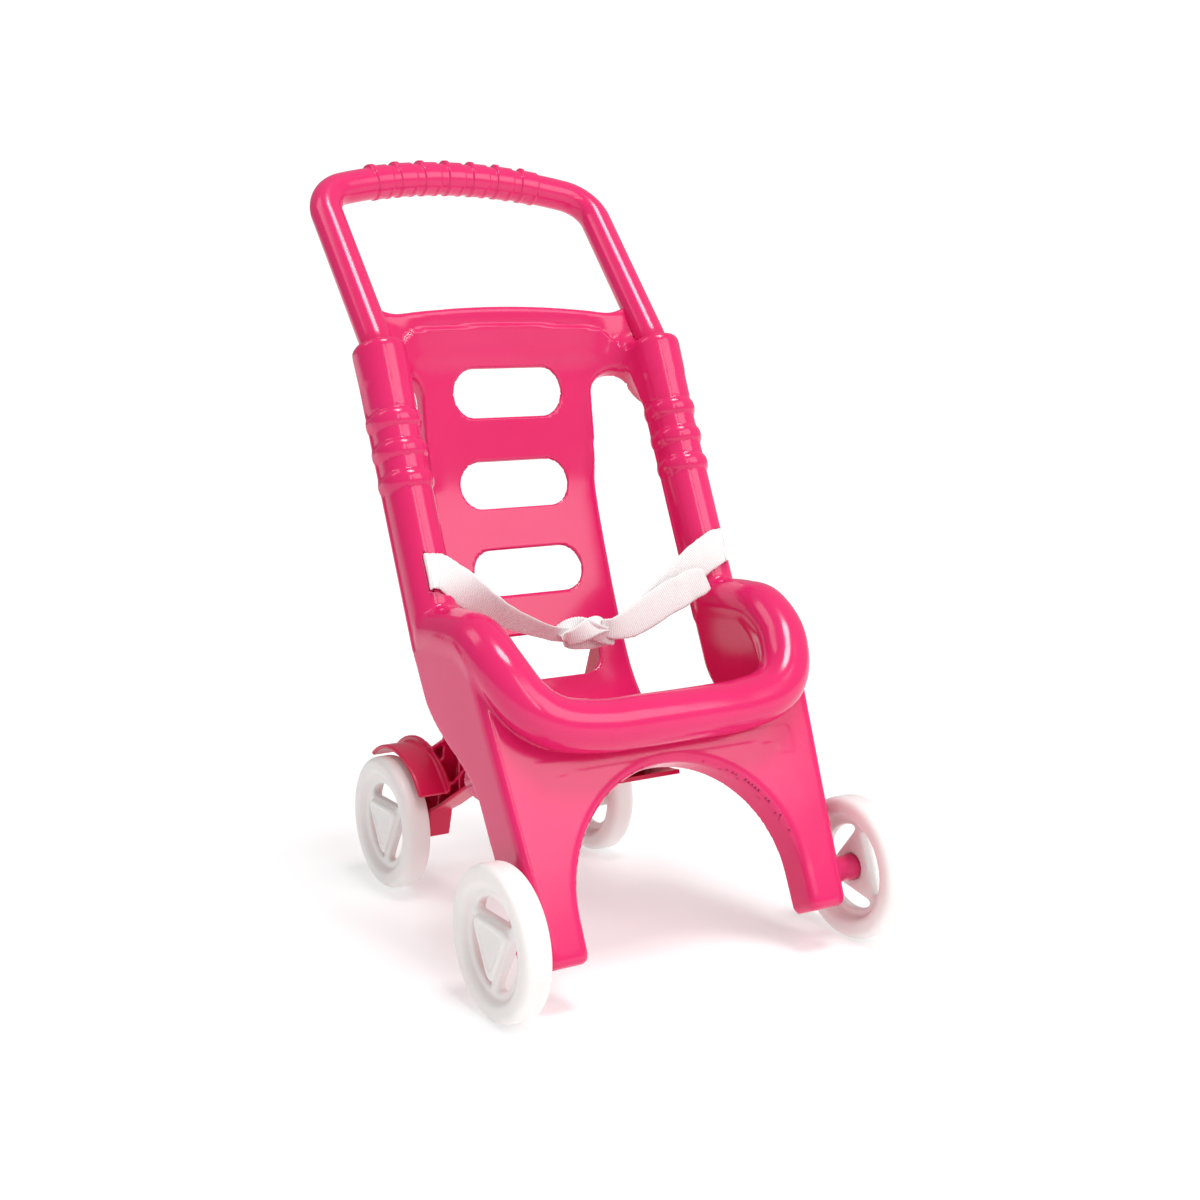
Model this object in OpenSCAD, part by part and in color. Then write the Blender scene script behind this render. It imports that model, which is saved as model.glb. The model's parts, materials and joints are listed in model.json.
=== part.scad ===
// Doll stroller: an open-backed moulded body, a push handle, a bolted rear
// leg unit, four loose wheels on pins and a two-piece tied waist strap.
// +Z is up, the stroller faces -Y, and the origin is on the floor under the
// middle of the whole stroller.

/* [Wheels] */
// Outer diameter of every wheel
wheel_d = 100; // [80:1:125]
// Width of the tread
wheel_w = 20; // [17:1:26]
// Radius of the round edges of the tread
tread_edge_r = 6; // [3:0.5:8]
// Thickness of the tread ring, from the tread to its inner wall
ring_wall = 15; // [11:1:17]
// Thickness of the disc that joins the ring to the hub
disc_t = 4; // [3:0.5:6]
// Distance from the wheel's centre to the flat side of each window
window_flat = 15.5; // [13:0.5:18]
// Wall left between the windows and the tread ring
window_wall = 6; // [4:0.5:9]
// Wheel outer face to outer face at the front
front_width = 300; // [270:1:340]
// Wheel outer face to outer face at the rear
rear_width = 198; // [186:1:230]
// Distance between the front and rear axles
wheelbase = 267; // [240:1:310]

/* [Axles] */
// Diameter of the steel wheel pins
pin_d = 5; // [4:0.5:6]
// Radial clearance of a wheel on its pin
pin_clearance = 0.06; // [0.02:0.01:0.1]
// Outer diameter of the bosses that hold the pins
boss_d = 18; // [14:0.5:20]
// How far a pin goes into its boss
pin_grip = 18; // [12:1:22]
// End clearance between a boss and its wheel's hub
hub_gap = 0.4; // [0.3:0.1:1]
// Diameter of the push nut that keeps a wheel on its pin
nut_d = 11; // [9:0.5:12]
// Thickness of the push nut
nut_t = 1; // [0.8:0.1:1.5]
// Thickness of the snap-in cap over the hub
cap_t = 2; // [1.5:0.1:3]

/* [Body] */
// Backward lean of the body from the vertical, in degrees
body_lean = 24.2; // [20:0.2:28]
// Wall thickness of the mouldings
wall = 3; // [2:0.1:4]
// Distance between the centres of the two rails
rail_gauge = 228; // [205:1:260]
// Radius of the round front of a rail
rail_r = 16.5; // [14:0.5:18]
// Depth of the flat sides behind a rail's round front
rail_skirt = 9; // [6:0.5:14]
// Depth of the body from its front panel to the rim of the rails
side_depth = 75.5; // [66:0.5:90]
// Depth of a front leg from its front face to its rim
leg_depth = 38; // [34:0.5:48]
// Length along the lean from a foot to the top of the collars
body_length = 441; // [400:1:520]
// Outer width over the feet
feet_width = 232; // [215:1:250]
// Height of the front axle above the sole, along the lean
axle_up = 24; // [18:0.5:32]
// Depth of the front axle behind the front panel
axle_back = 15; // [12:0.5:20]
// Radius of the arch between the front legs
arch_r = 87.5; // [76:0.5:92]
// Height of the arch's centre above the sole, along the lean
arch_up = 28; // [22:1:36]
// Depth of the lip around the arch
arch_lip = 25; // [16:1:32]

/* [Rails] */
// Length of the collar that takes the handle
collar_len = 31; // [26:1:40]
// How far the collar stands out from the rail
collar_step = 1.2; // [0.5:0.1:3]
// Number of ring beads below the collar
bead_count = 3; // [1:1:4]
// Spacing of the ring beads
bead_pitch = 22; // [18:1:26]
// Distance from the collar to the first ring bead
bead_start = 27; // [20:1:34]
// Width of a ring bead
bead_w = 6; // [4:0.5:9]
// How far a ring bead stands out
bead_step = 1.8; // [1:0.1:3]

/* [Bumper] */
// Radius of the bumper bar
bumper_r = 17.5; // [14:0.5:19]
// Height of the bumper bar's centre line above the sole, along the lean
bumper_up = 143; // [130:1:160]
// How far the bar's centre line is in front of the panel
bumper_out = 15.5; // [12:0.5:18]
// Height at which the arms run into the rails, along the lean
bumper_arm_up = 230; // [215:1:250]

/* [Seat] */
// Width of the seat back
back_w = 140; // [120:1:150]
// Depth of the turned edges of the seat back
back_lip = 10; // [6:0.5:14]
// Width of the openings in the seat back
slot_w = 90; // [70:1:100]
// Height of the openings in the seat back
slot_h = 34; // [26:1:40]
// Spacing of the openings in the seat back
slot_pitch = 65; // [58:1:68]
// Height of the centre of the top opening above the sole, along the lean
slot_up = 416; // [412:1:418]
// Number of openings in the seat back
slot_count = 4; // [2:1:4]

/* [Handle] */
// Diameter of the handle tube
handle_d = 23.5; // [20:0.5:25]
// Wall of the handle tube
handle_wall = 3; // [2:0.25:4]
// Lean of the handle from the vertical, in degrees
handle_lean = 41.5; // [36:0.5:48]
// Length of the handle above the collars, along its lean
handle_len = 157; // [140:1:190]
// Radius of the bend where the handle leaves the collars
handle_bend_r = 20; // [16:1:60]
// How far a plug sits behind the centre of its rail
plug_back = 3; // [0:0.5:3]
// Radius of the handle's corners
handle_corner_r = 28; // [22:1:36]
// Radius of the bow of the handle's bar
handle_bow_r = 330; // [250:10:600]
// Diameter of the plugs that go into the collars
plug_d = 23; // [20:0.5:25]
// Length of the plugs
plug_len = 28; // [20:1:36]
// Radial clearance of a plug in its collar
plug_clearance = 0.1; // [0.05:0.05:0.3]
// Number of grip rings
grip_count = 7; // [3:1:8]
// Width of a grip ring
grip_w = 14; // [10:1:16]
// Spacing of the grip rings
grip_pitch = 21; // [18:0.5:23]
// How far a grip ring stands out
grip_step = 1.1; // [0.6:0.1:2]

/* [Rear legs] */
// Distance between the inner faces of the rear arms
arm_gap = 94; // [84:1:104]
// Depth of the ribbed outer side of an arm
arm_depth = 19.5; // [17:0.5:20]
// Width of a mudguard
guard_w = 23; // [18:1:26]
// Clearance between a mudguard and its wheel
guard_gap = 5; // [4:0.5:9]
// Diameter of the screws that hold the rear legs
screw_d = 4; // [3:0.5:5]

/* [Strap] */
// Width of the webbing
strap_w = 25; // [20:1:30]
// Thickness of the webbing
strap_t = 1.2; // [0.8:0.1:2]
// Height of the slot centres above the sole, along the lean
strap_up = 272; // [262:1:290]
// Drop of the knot below the slots
strap_drop = 50; // [35:1:65]

/* [Hidden] */
$fn = 64;
eps = 0.01;
big = 1000;
pink = "#E5286B";
red_pink = "#D21C55";
milk = "#EAE6E4";
webbing = "#F1EFEE";
steel = "#B5B8BC";

wheel_r = wheel_d / 2;
rail_x = rail_gauge / 2;
rail_back = side_depth - rail_skirt;
rail_low = bumper_arm_up - 2;
inner_x = rail_x - rail_r;
outer_top_x = rail_x + rail_r;
outer_foot_x = feet_width / 2;
side_tilt = atan((outer_top_x - outer_foot_x) / rail_low);
collar_r = rail_r + collar_step;
collar_low = body_length - collar_len;

// The lean frame: x across, y backwards square to the lean, z up along it.
// Its origin is at the front lower edge of the feet.
foot_y = -(axle_back * cos(body_lean) + axle_up * sin(body_lean));
foot_z = wheel_r + axle_back * sin(body_lean) - axle_up * cos(body_lean);
function lean_y(back, up) = foot_y + back * cos(body_lean) + up * sin(body_lean);
function lean_z(back, up) = foot_z - back * sin(body_lean) + up * cos(body_lean);

// The handle leaves the top of the collars in a short bend.
handle_y = lean_y(rail_back + plug_back, body_length) + handle_bend_r * (cos(body_lean) - cos(handle_lean));
handle_z = lean_z(rail_back + plug_back, body_length) + handle_bend_r * (sin(handle_lean) - sin(body_lean));
handle_r = handle_d / 2;
bow_centre = handle_len - handle_bow_r;
corner_x = rail_x - handle_corner_r;
corner_reach = handle_bow_r - handle_corner_r;
bow_half = asin(corner_x / corner_reach);
corner_up = bow_centre + corner_reach * cos(bow_half);
handle_back = handle_y + handle_len * sin(handle_lean) + handle_r + grip_step;

// Half way between the front of the front wheels and the back of the handle.
middle_y = (handle_back - wheel_r) / 2;

hub_in = 11;
front_hub_x = front_width / 2 - wheel_w + hub_in;
rear_hub_x = rear_width / 2 - wheel_w + hub_in;
hub_len = wheel_w - hub_in - 0.6;
window_r = wheel_r - ring_wall - window_wall;
pocket_in = hub_len - cap_t - nut_t - 1.6;
// The windows never take the spokes between them, however far out they reach.
web_flat = max(window_flat, window_r / 2 + 1);
cap_flat = web_flat - 3;
cap_fit = 0.1;

// Middle line of the seat, in the lean frame as [back, up], from the front
// of the pan over the seat back to the top of the header.
seat_line = [[wall + 0.3, 123.5], [30, 120.5], [60, 122], [90, 135], [112, 158], [126, 190], [130, 225],
    [128, 287], [121, 352], [101, 420], [90, 444], [76, 474]];
// Stations of the pan, the back and the header along the seat line.
pan_end = 5;
back_end = 9;
seat_steps = 4;

function blend4(a, b, c, d, t) = 0.5 * (2 * b + (c - a) * t + (2 * a - 5 * b + 4 * c - d) * t * t
    + (3 * b - a - 3 * c + d) * t * t * t);
function pick(line, i) = line[max(0, min(len(line) - 1, i))];
function smooth(line, from, to, steps) = [for (i = [from:to - 1], k = [0:steps - (i < to - 1 ? 1 : 0)])
    blend4(pick(line, i - 1), pick(line, i), pick(line, i + 1), pick(line, i + 2), k / steps)];
function unit(v) = v / norm(v);
function side_of(line, i) = let (d = unit(pick(line, i + 1) - pick(line, i - 1))) [d[1], -d[0]];
function offset_line(line, d) = [for (i = [0:len(line) - 1]) line[i] + d * side_of(line, i)];
function backwards(line) = [for (i = [len(line) - 1:-1:0]) line[i]];
function seat_band(from, to, near, far) = let (line = smooth(seat_line, from, to, seat_steps))
    concat(offset_line(line, near), backwards(offset_line(line, far)));

// The rim of a side runs from the leg's depth to the rail's depth.
rim_low = 115;
rim_high = 190;
function ease(t) = t * t * (3 - 2 * t);
function rim_back(up) = leg_depth + (side_depth - leg_depth) * ease(max(0, min(1, (up - rim_low) / (rim_high - rim_low))));

// Centre line of a bumper arm: a cubic curve from the bar to the rail.
arm_points = [[62, -bumper_out, bumper_up], [rail_x - 8, -bumper_out, bumper_up],
    [rail_x, 6 - bumper_out, bumper_arm_up - 21], [rail_x, rail_back - 22, bumper_arm_up]];
arm_steps = 8;
function cubic(p, t) = pow(1 - t, 3) * p[0] + 3 * t * pow(1 - t, 2) * p[1] + 3 * t * t * (1 - t) * p[2]
    + pow(t, 3) * p[3];

module place() {
    translate([0, -middle_y, 0]) children();
}

module lean() {
    place() translate([0, foot_y, foot_z]) rotate([-body_lean, 0, 0]) children();
}

// Extrudes a [back, up] outline across the body, from low_x to high_x.
module across(low_x, high_x) {
    translate([low_x, 0, 0]) rotate([90, 0, 90]) linear_extrude(high_x - low_x) children();
}

module mirror_if(side) {
    mirror([side < 0 ? 1 : 0, 0, 0]) children();
}

// Round-fronted channel section of a rail, open at the back.
module channel_outline(r, skirt) {
    circle(r);
    translate([-r, 0]) square([2 * r, skirt]);
}

module channel(r, inner_r, length) {
    linear_extrude(length) difference() {
        channel_outline(r, rail_skirt);
        channel_outline(inner_r, rail_skirt + 1);
    }
}

module strap_slot(side) {
    translate([side * rail_x, rail_back, strap_up]) rotate([0, 0, side * 20])
        translate([-1.5, -rail_r - 4, -strap_w / 2 - 1]) cube([3, 9, strap_w + 2]);
}

module rail(side) {
    color(pink) lean() difference() {
        translate([side * rail_x, rail_back, 0]) {
            translate([0, 0, rail_low]) channel(rail_r, rail_r - wall, collar_low - rail_low);
            for (i = [0:bead_count - 1])
                translate([0, 0, collar_low - bead_start - i * bead_pitch - bead_w / 2])
                    channel(rail_r + bead_step, rail_r - wall, bead_w);
            translate([0, 0, collar_low]) difference() {
                cylinder(h = collar_len, r = collar_r);
                translate([0, plug_back, collar_len - plug_len - 1])
                    cylinder(h = plug_len + 2, d = plug_d + 2 * plug_clearance);
                translate([0, plug_back, -eps]) cylinder(h = collar_len, r = plug_d / 2 - 2);
            }
        }
        strap_slot(side);
    }
}

// The lower edge of an arm where it meets a flat wall, from its centre line p
// and direction d, both in the wall's plane, and its distance off the wall.
function under_arm(p, d, off) = p + sqrt(max(0, pow(bumper_r, 2) - pow(off, 2))) * [d[1], -d[0]] / norm(d);
arm_line = [for (i = [0:arm_steps]) cubic(arm_points, i / arm_steps)];
function arm_way(i) = pick(arm_line, i + 1) - pick(arm_line, i - 1);
side_seam = 3;
panel_seam = 5;

// Outline of a side in the lean frame: the front of the leg, the under side
// of the arm at the wall_x given and the rim at the back, above "low".
module side_outline(low, wall_x) {
    steps = 24;
    arm_end = arm_line[arm_steps];
    seam = [for (i = [side_seam:arm_steps]) let (c = arm_line[i], d = arm_way(i),
        p = under_arm([c[1], c[2]], [d[1], d[2]], wall_x - c[0])) if (p[0] > wall) p];
    polygon(concat([[wall, low], [wall, seam[0][1]]], seam,
        [[arm_end[1] + 1, rail_low + 1], [side_depth, rail_low + 1]],
        [for (i = [0:steps]) let (up = rail_low + (low - rail_low) * i / steps) [rim_back(up), up]]));
}

// Part of a side: an [x, up] section carried back, inside the side's outline.
module side_wall(wall_x) {
    intersection() {
        across(inner_x - 1, outer_top_x + 1) side_outline(-1, wall_x);
        translate([0, big / 2, 0]) rotate([90, 0, 0]) linear_extrude(big) children();
    }
}

// Double-walled side: the outer wall leans in towards the foot, the inner
// wall is upright, and the sole closes the leg.
module side(side) {
    boss_x = outer_foot_x - pin_grip - 2;
    sole_x = arch_r + wall + eps;
    pod_low = arch_up + arch_r + wall;
    color(pink) lean() mirror_if(side) {
        side_wall(outer_top_x - wall - 1) polygon([[sole_x, 0], [outer_foot_x, 0], [outer_top_x, rail_low],
            [outer_top_x - wall, rail_low], [outer_foot_x - wall + wall * tan(side_tilt), wall], [sole_x, wall]]);
        side_wall(inner_x + wall) translate([inner_x, pod_low]) square([wall, rail_low - pod_low]);
        difference() {
            translate([boss_x, axle_back, axle_up]) rotate([0, 90, 0])
                cylinder(h = front_hub_x - hub_gap - boss_x, d = boss_d);
            translate([front_hub_x - hub_gap - pin_grip, axle_back, axle_up]) rotate([0, 90, 0])
                cylinder(h = big / 4, d = pin_d);
        }
    }
}

module panel_outline() {
    rising = [for (i = [0:panel_seam]) let (p = arm_line[i], d = arm_way(i))
        under_arm([p[0], p[2]], [d[0], d[2]], p[1])];
    top = rising[panel_seam][1];
    side_edge = [[outer_foot_x, 0], [outer_foot_x + top * tan(side_tilt), top]];
    difference() {
        polygon(concat(side_edge, backwards(rising), [for (p = rising) [-p[0], p[1]]],
            [for (p = backwards(side_edge)) [-p[0], p[1]]]));
        translate([0, arch_up]) circle(arch_r);
        translate([-arch_r, -1]) square([2 * arch_r, arch_up + 1]);
    }
}

module front_panel() {
    color(pink) lean() translate([0, wall, 0]) rotate([90, 0, 0]) linear_extrude(wall) panel_outline();
}

module arch_lip_band() {
    color(pink) lean() difference() {
        translate([0, arch_lip, 0]) rotate([90, 0, 0]) linear_extrude(arch_lip - wall) difference() {
            union() {
                translate([0, arch_up]) circle(arch_r + wall);
                translate([-arch_r - wall, 0]) square([2 * (arch_r + wall), arch_up]);
            }
            translate([0, arch_up]) circle(arch_r);
            translate([-arch_r, -1]) square([2 * arch_r, arch_up + 1]);
            translate([-big / 2, -big]) square(big);
        }
    }
}

module bar_shape(r) {
    translate([-arm_points[0][0], -bumper_out, bumper_up]) rotate([0, 90, 0])
        cylinder(h = 2 * arm_points[0][0], r = r);
}

// Round bar swept along the arm's centre line.
module bumper_shape(side, r) {
    sides = 24;
    last = arm_steps;
    rings = [for (i = [0:last]) let (t = i == 0 ? [1, 0, 0] : unit(arm_way(i)),
        u = unit(cross(t, [1, 0, -1])), v = cross(t, u))
        each [for (k = [0:sides - 1]) arm_line[i] + r * (cos(k * 360 / sides) * u + sin(k * 360 / sides) * v)]];
    walls = [for (i = [0:last - 1], k = [0:sides - 1]) [sides * i + k, sides * (i + 1) + k,
        sides * (i + 1) + (k + 1) % sides, sides * i + (k + 1) % sides]];
    mirror_if(side) polyhedron(rings, concat([[for (k = [0:sides - 1]) k]], walls,
        [[for (k = [sides - 1:-1:0]) sides * last + k]]));
}

module bumper_bar() {
    color(pink) lean() difference() {
        bar_shape(bumper_r);
        bar_shape(bumper_r - wall);
    }
}

module bumper_arm(side) {
    color(pink) lean() difference() {
        bumper_shape(side, bumper_r);
        bumper_shape(side, bumper_r - wall);
        translate([side * rail_x, rail_back, rail_low]) linear_extrude(big) channel_outline(rail_r, side_depth);
        translate([side > 0 ? -big + arm_points[0][0] : -arm_points[0][0], -big / 2, -big / 2]) cube(big);
    }
}

module seat_pan() {
    color(pink) {
        lean() across(-inner_x, inner_x) polygon(seat_band(0, pan_end, -wall / 2, wall / 2));
        for (station = screw_steps, x = [-screw_x, screw_x]) under_seat(station, x) difference() {
            cylinder(h = wall / 2 + boss_h - 0.1, d = 2 * screw_d + 1);
            translate([0, 0, wall / 2]) cylinder(h = 30, d = screw_d);
        }
    }
}

module seat_back() {
    lip_line = seat_band(pan_end, back_end, wall / 2, wall / 2 + back_lip);
    color(pink) lean() difference() {
        union() {
            across(-back_w / 2, back_w / 2) polygon(seat_band(pan_end, back_end, -wall / 2, wall / 2));
            for (x = [-back_w / 2, back_w / 2 - wall]) across(x, x + wall) polygon(lip_line);
        }
        back_slots();
    }
}

module back_slots() {
    for (i = [0:slot_count - 1]) translate([0, 0, slot_up - i * slot_pitch]) back_slot();
}

module back_slot() {
    round_x = (slot_w - slot_h) / 2;
    translate([0, 90, 0]) rotate([-90, 0, 0]) linear_extrude(60) {
        for (x = [-round_x, round_x]) translate([x, 0]) circle(slot_h / 2);
        translate([-round_x, -slot_h / 2]) square([2 * round_x, slot_h]);
    }
}

module header() {
    color(pink) lean() difference() {
        across(-inner_x - 3, inner_x + 3) polygon(seat_band(back_end, len(seat_line) - 1, -wall / 2, wall / 2));
        for (side = [-1, 1]) translate([side * rail_x, rail_back, 0]) cylinder(h = big, r = max(collar_r, handle_d / 2 + 5.9));
        back_slots();
    }
}

// Stations of the handle's centre line, each [point, direction, radius]: the
// plug and the bend by the collar, the leg, the corner and the bowed bar.
handle_normal = [0, cos(handle_lean), -sin(handle_lean)];
function lean_point(x, back, up) = [x, lean_y(back, up), lean_z(back, up)];
function handle_point(x, along) = [x, handle_y + along * sin(handle_lean), handle_z + along * cos(handle_lean)];
function upwards(x, along, lean) = [x, along * sin(lean), along * cos(lean)];
function bend_station(turn, r) = [lean_point(rail_x, rail_back + plug_back + handle_bend_r * (1 - cos(turn)),
    body_length + handle_bend_r * sin(turn)), upwards(0, 1, body_lean + turn), r];
function corner_station(turn) = [handle_point(corner_x + handle_corner_r * cos(turn),
    corner_up + handle_corner_r * sin(turn)), upwards(-sin(turn), cos(turn), handle_lean), handle_r];
function bow_station(turn, r) = [handle_point(handle_bow_r * sin(turn), bow_centre + handle_bow_r * cos(turn)),
    upwards(-cos(turn), sin(turn), handle_lean), r];
function mirrored(s) = [[-s[0][0], s[0][1], s[0][2]], [s[1][0], -s[1][1], -s[1][2]], s[2]];
bend_turn = handle_lean - body_lean;
handle_leg = concat(
    [[lean_point(rail_x, rail_back + plug_back, body_length - plug_len), upwards(0, 1, body_lean), plug_d / 2],
        bend_station(0, plug_d / 2)],
    [for (i = [0:3]) bend_station(bend_turn * (i + 0.1) / 3.1, handle_r)],
    [for (i = [0:7]) corner_station((90 - bow_half) * i / 7.5)]);
grip_turn = 2 * asin(grip_w / 2 / handle_bow_r);
pitch_turn = 2 * asin(grip_pitch / 2 / handle_bow_r);
handle_bar = [for (i = [0:grip_count - 1]) let (mid = ((grip_count - 1) / 2 - i) * pitch_turn)
    each [bow_station(mid + grip_turn / 2, handle_r), bow_station(mid + grip_turn * 0.44, handle_r + grip_step),
        bow_station(mid - grip_turn * 0.44, handle_r + grip_step), bow_station(mid - grip_turn / 2, handle_r)]];
handle_stations = concat(handle_leg, [bow_station(bow_half, handle_r)], handle_bar,
    [bow_station(-bow_half, handle_r)], [for (s = backwards(handle_leg)) mirrored(s)]);

function sweep_ring(station, r, normal, sides) = let (t = station[1], u = unit(normal - (normal * t) * t), v = cross(t, u))
    [for (k = [0:sides - 1]) station[0] + r * (cos(k * 360 / sides) * u + sin(k * 360 / sides) * v)];

// Round tube with open ends, swept along stations.
module sweep_tube(stations, bore_r, normal, sides) {
    last = len(stations) - 1;
    inner = (last + 1) * sides;
    points = concat([for (s = stations) each sweep_ring(s, s[2], normal, sides)],
        [for (s = stations) each sweep_ring(s, bore_r, normal, sides)]);
    polyhedron(points, concat(
        [for (i = [0:last - 1], k = [0:sides - 1]) let (a = i * sides + k, b = i * sides + (k + 1) % sides)
            [a, a + sides, b + sides, b]],
        [for (i = [0:last - 1], k = [0:sides - 1]) let (a = i * sides + k + inner, b = i * sides + (k + 1) % sides + inner)
            [b, b + sides, a + sides, a]],
        [for (k = [0:sides - 1]) [k, (k + 1) % sides, inner + (k + 1) % sides, inner + k]],
        [for (k = [0:sides - 1]) let (a = last * sides + k, b = last * sides + (k + 1) % sides)
            [b, a, a + inner, b + inner]]));
}

module handle() {
    color(pink) place() sweep_tube(handle_stations, handle_r - handle_wall, handle_normal, 20);
}

bracket_from = 2;
bracket_to = 4;
boss_h = 5;
// Steps along the seat line, from bracket_from, at which the screws sit.
screw_steps = [2, 7];
screw_x = 30;

function to_level(p) = [lean_y(p[0], p[1]), lean_z(p[0], p[1])];
function seat_rear(from, to, d) = [for (p = offset_line(smooth(seat_line, from, to, seat_steps), d)) to_level(p)];
// Outline of a rear arm as [y, z] from the front axle. Its front edge follows
// the back of the seat, and the rest is set from that edge's ends and the axle.
arm_seat = seat_rear(bracket_from + 1, pan_end + 1, wall / 2);
arm_high = arm_seat[len(arm_seat) - 1];
rear_axle = [wheelbase, wheel_r];
arm_rear = [arm_high + [7.5, 10], (arm_high + rear_axle) / 2 + [-9, 18], (arm_high + rear_axle) / 2 + [-2, 2],
    rear_axle + [2, 47], rear_axle + [16, 28], rear_axle + [14, -13], rear_axle + [-14, -13],
    rear_axle + [-20, 8], rear_axle + [-36, 16], (arm_seat[0] + rear_axle) / 2 + [-17, 14]];
arm_edge = concat(arm_rear, arm_seat);
function corner(line, i) = line[(i + len(line)) % len(line)];
function inset(line, d) = [for (i = [0:len(line) - 1]) let (a = unit(corner(line, i) - corner(line, i - 1)),
    b = unit(corner(line, i + 1) - corner(line, i)), m = unit([-a[1] - b[1], a[0] + b[0]]))
    corner(line, i) - m * d / max(0.5, m * [-a[1], a[0]])];

module arm_outline() {
    polygon(arm_edge);
}

// Places its children on the under side of the pan, +Z pointing away from it.
module under_seat(station, x) {
    line = smooth(seat_line, bracket_from, bracket_to + 1, seat_steps);
    n = side_of(line, station);
    p = line[station];
    lean() translate([x, p[0], p[1]]) rotate([-atan2(n[0], n[1]), 0, 0]) children();
}

module guard_outline() {
    r = wheel_r + guard_gap;
    steps = 16;
    spread = [for (i = [0:steps]) 52 + i * 98 / steps];
    polygon(concat([for (a = spread) [wheelbase + r * cos(a), wheel_r + r * sin(a)]],
        [for (a = backwards(spread)) [wheelbase + (r + wall) * cos(a), wheel_r + (r + wall) * sin(a)]]));
}

module rear_arm(side) {
    arm_x = arm_gap / 2;
    guard_from = min(rear_width / 2 - wheel_w / 2 - guard_w, arm_x + arm_depth - wall);
    color(red_pink) place() mirror_if(side) {
        difference() {
            union() {
                across(arm_x, arm_x + wall) arm_outline();
                across(arm_x, arm_x + arm_depth) difference() {
                    arm_outline();
                    polygon(inset(arm_edge, wall));
                }
                translate([arm_x, wheelbase, wheel_r]) rotate([0, 90, 0])
                    cylinder(h = rear_hub_x - hub_gap - arm_x, d = boss_d);
                across(guard_from, rear_width / 2 - wheel_w / 2) guard_outline();
            }
            translate([rear_hub_x - hub_gap - pin_grip, wheelbase, wheel_r]) rotate([0, 90, 0])
                cylinder(h = big / 4, d = pin_d);
        }
    }
}

module screw_holes(d) {
    for (station = screw_steps, x = [-screw_x, screw_x]) under_seat(station, x) cylinder(h = 30, d = d);
}

module rear_leg_bracket() {
    color(red_pink) difference() {
        place() across(-arm_gap / 2, arm_gap / 2)
            polygon(concat(seat_rear(bracket_from, bracket_to + 1, wall / 2 + boss_h),
                backwards(seat_rear(bracket_from, bracket_to + 1, wall * 3 / 2 + boss_h))));
        screw_holes(screw_d + 0.4);
    }
}

// Screws driven up through the bracket into the bosses under the pan.
module rear_leg_screws() {
    head_up = wall * 3 / 2 + boss_h + 0.1;
    color(steel) for (station = screw_steps, x = [-screw_x, screw_x]) under_seat(station, x) {
        translate([0, 0, wall / 2 + 0.5]) cylinder(h = head_up - wall / 2 - 0.5 + 1, d = screw_d);
        translate([0, 0, head_up]) cylinder(h = 2.4, d = 2 * screw_d);
    }
}

module pin_at(x, y, side) {
    color(steel) place() mirror_if(side) translate([x - hub_gap - pin_grip, y, wheel_r]) rotate([0, 90, 0])
        cylinder(h = pin_grip + hub_gap + pocket_in + nut_t + 1, d = pin_d);
}

// A wheel with its hub's inner face at x = 0, facing +X.
module windows(flat_from, r, depth) {
    for (a = [0, 120, 240]) rotate([a + 60, 0, 0]) rotate([0, 90, 0]) linear_extrude(depth) intersection() {
        circle(r);
        translate([flat_from, -r]) square([r, 2 * r]);
    }
}

module triangle_prism(flat_from, depth) {
    rotate([0, 90, 0]) linear_extrude(depth) intersection() {
        circle(window_r + 1);
        intersection_for (a = [0, 120, 240]) rotate([0, 0, a - 60]) translate([-big, -big]) square([big + flat_from, 2 * big]);
    }
}

module wheel_shape() {
    inner_r = wheel_r - ring_wall;
    difference() {
        union() {
            rotate([0, 90, 0]) rotate_extrude() translate([inner_r, -hub_in]) intersection() {
                square([ring_wall, wheel_w]);
                union() {
                    square([ring_wall - tread_edge_r, wheel_w]);
                    translate([0, tread_edge_r]) square([ring_wall, wheel_w - 2 * tread_edge_r]);
                    for (z = [tread_edge_r, wheel_w - tread_edge_r])
                        translate([ring_wall - tread_edge_r, z]) circle(tread_edge_r);
                }
            }
            rotate([0, 90, 0]) cylinder(h = disc_t, r = inner_r + 1);
            triangle_prism(web_flat, hub_len);
        }
        translate([-1, 0, 0]) windows(web_flat, window_r, hub_len + 2);
        translate([-big / 4, 0, 0]) rotate([0, 90, 0]) cylinder(h = big / 2, d = pin_d + 2 * pin_clearance);
        translate([pocket_in, 0, 0]) rotate([0, 90, 0]) cylinder(h = big / 4, d = nut_d + 1);
        translate([hub_len - cap_t, 0, 0]) triangle_prism(cap_flat + cap_fit, big / 4);
    }
}

module wheel_at(x, y, side) {
    color(milk) place() mirror_if(side) translate([x, y, wheel_r]) wheel_shape();
}

module nut_at(x, y, side) {
    color(steel) place() mirror_if(side) translate([x + pocket_in + 0.3, y, wheel_r]) rotate([0, 90, 0]) difference() {
        cylinder(h = nut_t, d = nut_d);
        translate([0, 0, -1]) cylinder(h = nut_t + 2, d = pin_d);
    }
}

module cap_at(x, y, side) {
    color(milk) place() mirror_if(side) translate([x + hub_len - cap_t, y, wheel_r])
        triangle_prism(cap_flat, cap_t);
}

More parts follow.
